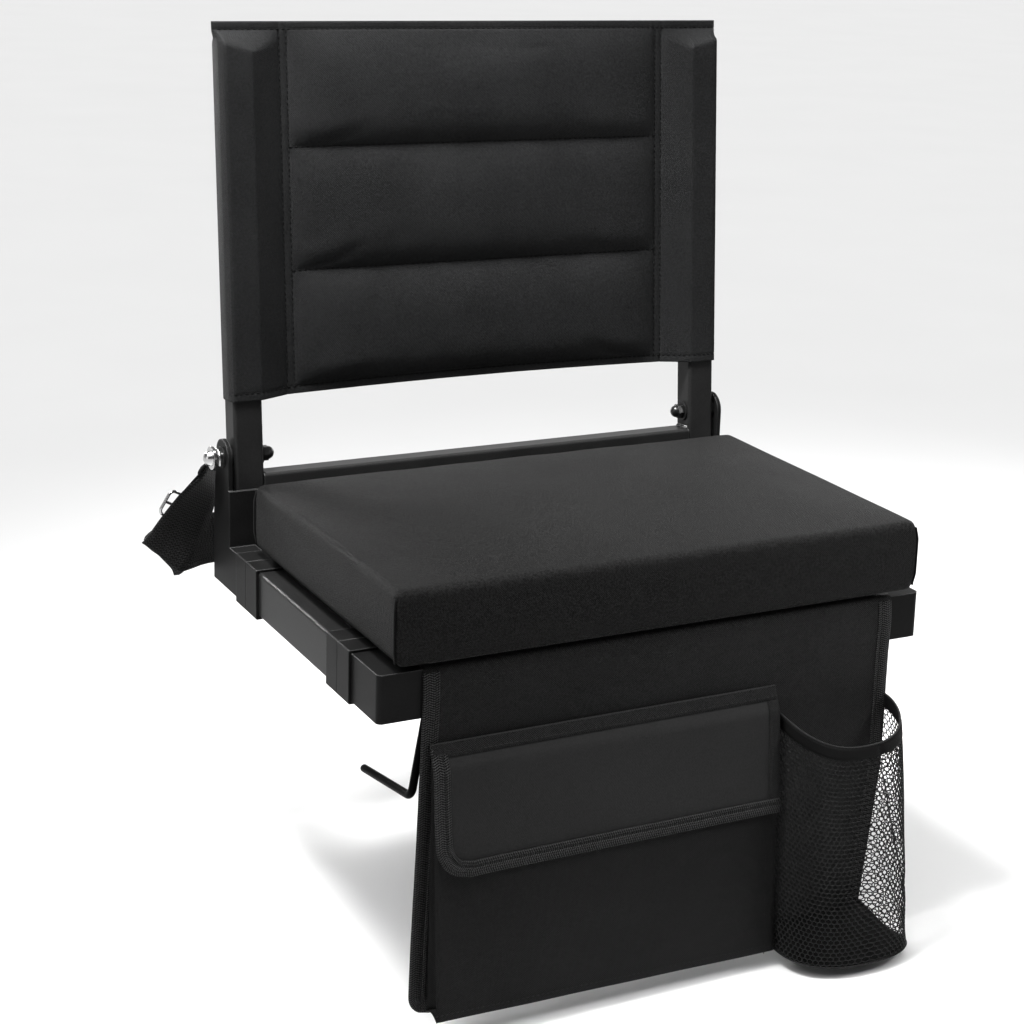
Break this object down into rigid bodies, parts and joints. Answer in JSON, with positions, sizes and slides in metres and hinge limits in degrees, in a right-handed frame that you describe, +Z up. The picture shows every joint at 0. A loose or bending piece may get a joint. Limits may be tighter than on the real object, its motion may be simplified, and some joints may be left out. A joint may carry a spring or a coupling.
{
  "type": "folding stadium seat",
  "caption": "Folding bench seat with padded cushion, hinged sling backrest, front organiser apron with flapped pocket and mesh pouch, bench hooks and carrying strap.",
  "frame": {"origin": "middle of the bench slot: on the bench top plane, at the bench front edge where the two hook stems stop it", "axes": "+X to the sitter's left hand as seen from the front (image right), +Y towards the backrest, +Z up"},
  "size_m": [0.6017, 0.5276, 0.794],
  "materials": {
    "frame_steel": "satin",
    "hook_steel": "satin",
    "moulding": "satin",
    "nylon": "matte",
    "dark_hardware": "satin",
    "bright_hardware": "polished",
    "board": "matte",
    "cushion_fabric": "matte",
    "back_fabric": "matte",
    "apron_fabric": "matte",
    "flap_fabric": "matte",
    "binding": "matte",
    "mesh": "matte",
    "patch": "matte",
    "webbing": "matte",
    "foam": "matte"
  },
  "bodies": {
    "seat": {"side_rail_left": "frame_steel", "side_rail_right": "frame_steel", "front_bar": "frame_steel", "rear_bar": "frame_steel", "front_corner_left": "moulding", "front_corner_right": "moulding", "front_collar_left": "moulding", "front_collar_right": "moulding", "rear_collar_left": "moulding", "rear_collar_right": "moulding", "rear_bracket_left": "moulding", "rear_bracket_right": "moulding", "collar_screws": "dark_hardware", "seat_slat_left": "frame_steel", "seat_slat_right": "frame_steel", "seat_deck": "board", "deck_screws": "dark_hardware", "cushion_cover": "cushion_fabric", "cushion_foam": "foam", "pivot_bolts": "bright_hardware", "pivot_nuts": "dark_hardware", "pivot_washers": "nylon", "strap_spool": "bright_hardware", "hook_block_left": "moulding", "hook_block_right": "moulding", "apron_header": "apron_fabric", "apron_clamp_strip": "frame_steel", "shoulder_strap": "webbing", "strap_snap": "bright_hardware", "strap_slider": "bright_hardware", "strap_anchor_right": "dark_hardware"},
    "backrest": {"upright_left": "frame_steel", "upright_right": "frame_steel", "back_crossbar": "frame_steel", "crossbar_welds": "frame_steel", "upright_caps": "moulding", "upright_feet": "moulding", "back_cover": "back_fabric", "back_pads": "foam"},
    "hook_left": {"bench_hook_left": "hook_steel", "hook_retainer_left": "dark_hardware"},
    "hook_right": {"bench_hook_right": "hook_steel", "hook_retainer_right": "dark_hardware"},
    "apron": {"apron_panel": "apron_fabric", "apron_binding": "binding", "cargo_pocket": "apron_fabric", "pocket_loop_patches": "patch", "pouch_net": "mesh", "pouch_band": "binding"},
    "flap": {"pocket_flap": "flap_fabric", "flap_binding": "binding", "flap_hook_patches": "patch"}
  },
  "joints": [
    {"name": "backrest_fold", "type": "hinge", "parent": "seat", "child": "backrest", "pos_m": [0, 0.34, 0.127], "axis": [1, 0, 0], "range_deg": [0, 86]},
    {"name": "hook_left_swing", "type": "hinge", "parent": "seat", "child": "hook_left", "pos_m": [-0.2045, 0, 0.0175], "axis": [0, -1, 0], "range_deg": [-40, 97]},
    {"name": "hook_right_swing", "type": "hinge", "parent": "seat", "child": "hook_right", "pos_m": [0.2045, 0, 0.0175], "axis": [0, 1, 0], "range_deg": [-40, 97]},
    {"name": "apron_lift", "type": "hinge", "parent": "seat", "child": "apron", "pos_m": [0, -0.037, 0.0025], "axis": [-1, 0, 0], "range_deg": [0, 70]},
    {"name": "flap_lift", "type": "hinge", "parent": "apron", "child": "flap", "pos_m": [-0.0535, -0.0394, -0.0195], "axis": [-1, 0, 0], "range_deg": [0, 100]}
  ]
}
